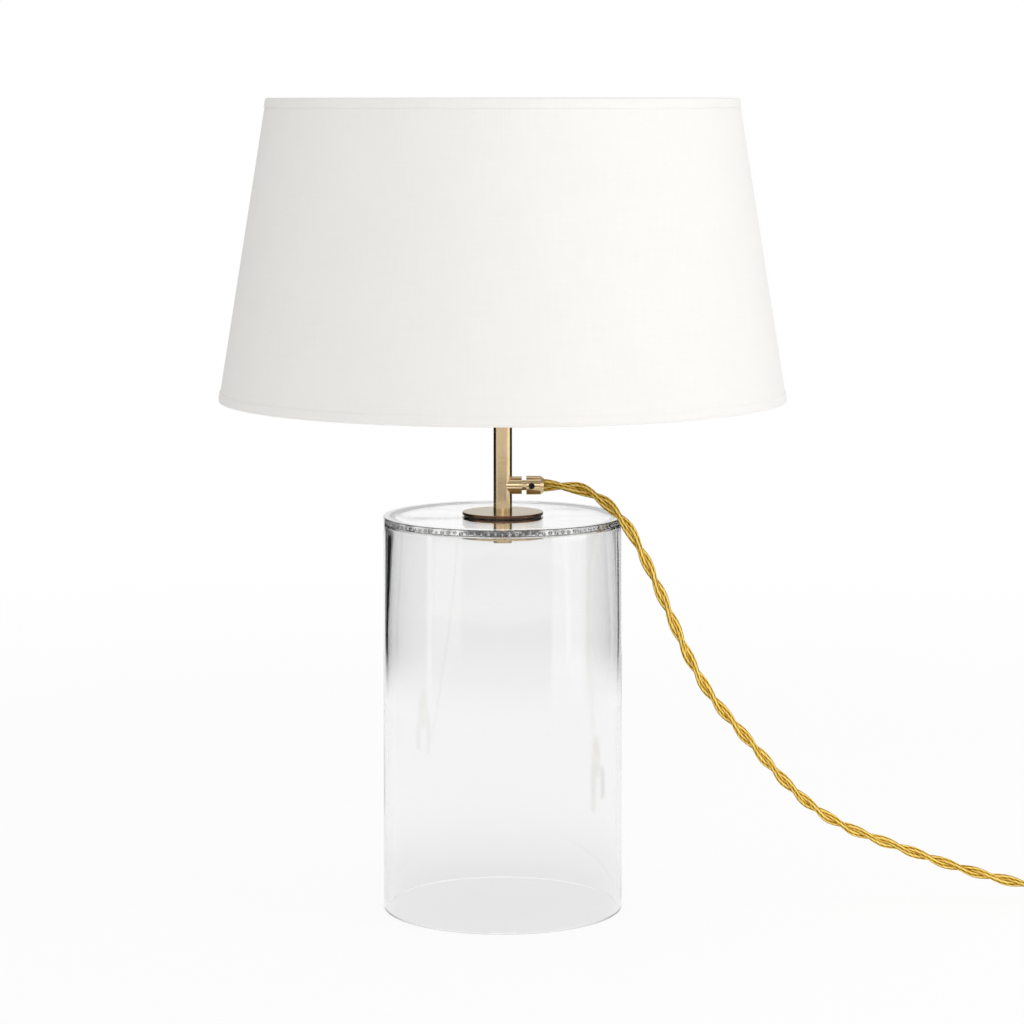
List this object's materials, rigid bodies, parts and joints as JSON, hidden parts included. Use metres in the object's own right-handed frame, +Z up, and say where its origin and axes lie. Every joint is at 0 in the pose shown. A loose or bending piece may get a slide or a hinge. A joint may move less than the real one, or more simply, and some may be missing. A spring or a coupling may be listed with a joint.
{
  "type": "table lamp",
  "caption": "Table lamp with an open clear glass bell base, a clamped brass stem, a tapered fabric shade and a twisted textile cord with a switch and a plug.",
  "frame": {"origin": "centre of the glass rim, on the surface that the lamp stands on", "axes": "+Z up along the stem, +X towards the cord grip, -Y towards the viewer"},
  "size_m": [0.6351, 0.3, 0.4303],
  "materials": {
    "clear_glass": "clear, polished",
    "antique_brass": "satin, aged",
    "contact_brass": "bright",
    "steel": "zinc plated",
    "gasket_rubber": "matt",
    "nylon": "natural",
    "brown_insulation": "matt",
    "blue_insulation": "matt",
    "porcelain": "glazed",
    "shade_frame": "white powder coat",
    "shade_fabric": "plain weave",
    "shade_liner": "smooth white sheet",
    "gold_textile": "braided yarn",
    "tie_band": "woven band",
    "black_plastic": "satin moulded",
    "nickel": "nickel plated"
  },
  "bodies": {
    "base": {"glass_body": "clear_glass", "top_flange": "antique_brass", "clamp_disc": "antique_brass", "stem_tube": "antique_brass", "side_outlet": "antique_brass", "cord_grip": "antique_brass", "holder_cap": "antique_brass", "holder_skirt": "antique_brass", "contact_strap": "contact_brass", "shell_strap": "contact_brass", "socket_shell": "contact_brass", "switch_terminals": "contact_brass", "contact_blade": "contact_brass", "terminal_screws": "contact_brass", "grip_screw": "steel", "holder_lock_screw": "steel", "contact_spring": "steel", "switch_screws": "steel", "top_gasket": "gasket_rubber", "bottom_gasket": "gasket_rubber", "stem_bush": "nylon", "grip_bush": "nylon", "live_wire": "brown_insulation", "neutral_wire": "blue_insulation", "holder_core": "porcelain", "mouth_ring": "porcelain", "cord_drop": "gold_textile", "cord_link": "gold_textile", "cord_coil": "gold_textile", "cord_tail": "gold_textile", "coil_tie": "tie_band", "switch_base": "black_plastic", "switch_cover": "black_plastic", "plug_body": "black_plastic", "plug_boot": "black_plastic", "plug_pins": "nickel"},
    "shade": {"shade_fitter": "shade_frame", "shade_arms": "shade_frame", "bottom_wire": "shade_frame", "top_wire": "shade_frame", "shade_cover": "shade_fabric", "shade_liner": "shade_liner", "bottom_hem": "shade_fabric", "top_hem": "shade_fabric"},
    "shade_ring": {"shade_ring": "antique_brass"},
    "rocker": {"switch_rocker": "black_plastic"},
    "contact": {"centre_contact": "contact_brass"}
  },
  "joints": [
    {"name": "shade_lift", "type": "slide", "parent": "base", "child": "shade", "axis": [0, 0, 1], "range_m": [0, 0.09]},
    {"name": "ring_turn", "type": "hinge", "parent": "shade", "child": "shade_ring", "pos_m": [0, 0, 0.3266], "axis": [0, 0, 1], "continuous": true},
    {"name": "rocker_tip", "type": "hinge", "parent": "base", "child": "rocker", "pos_m": [0.347, 0, 0.0125], "axis": [0, 1, 0], "range_deg": [0, 18]},
    {"name": "contact_press", "type": "slide", "parent": "base", "child": "contact", "axis": [0, 0, -1], "range_m": [0, 0.002], "stiffness_N_per_m": 400, "springref_m": -0.001, "deforming": ["contact_spring"]}
  ]
}
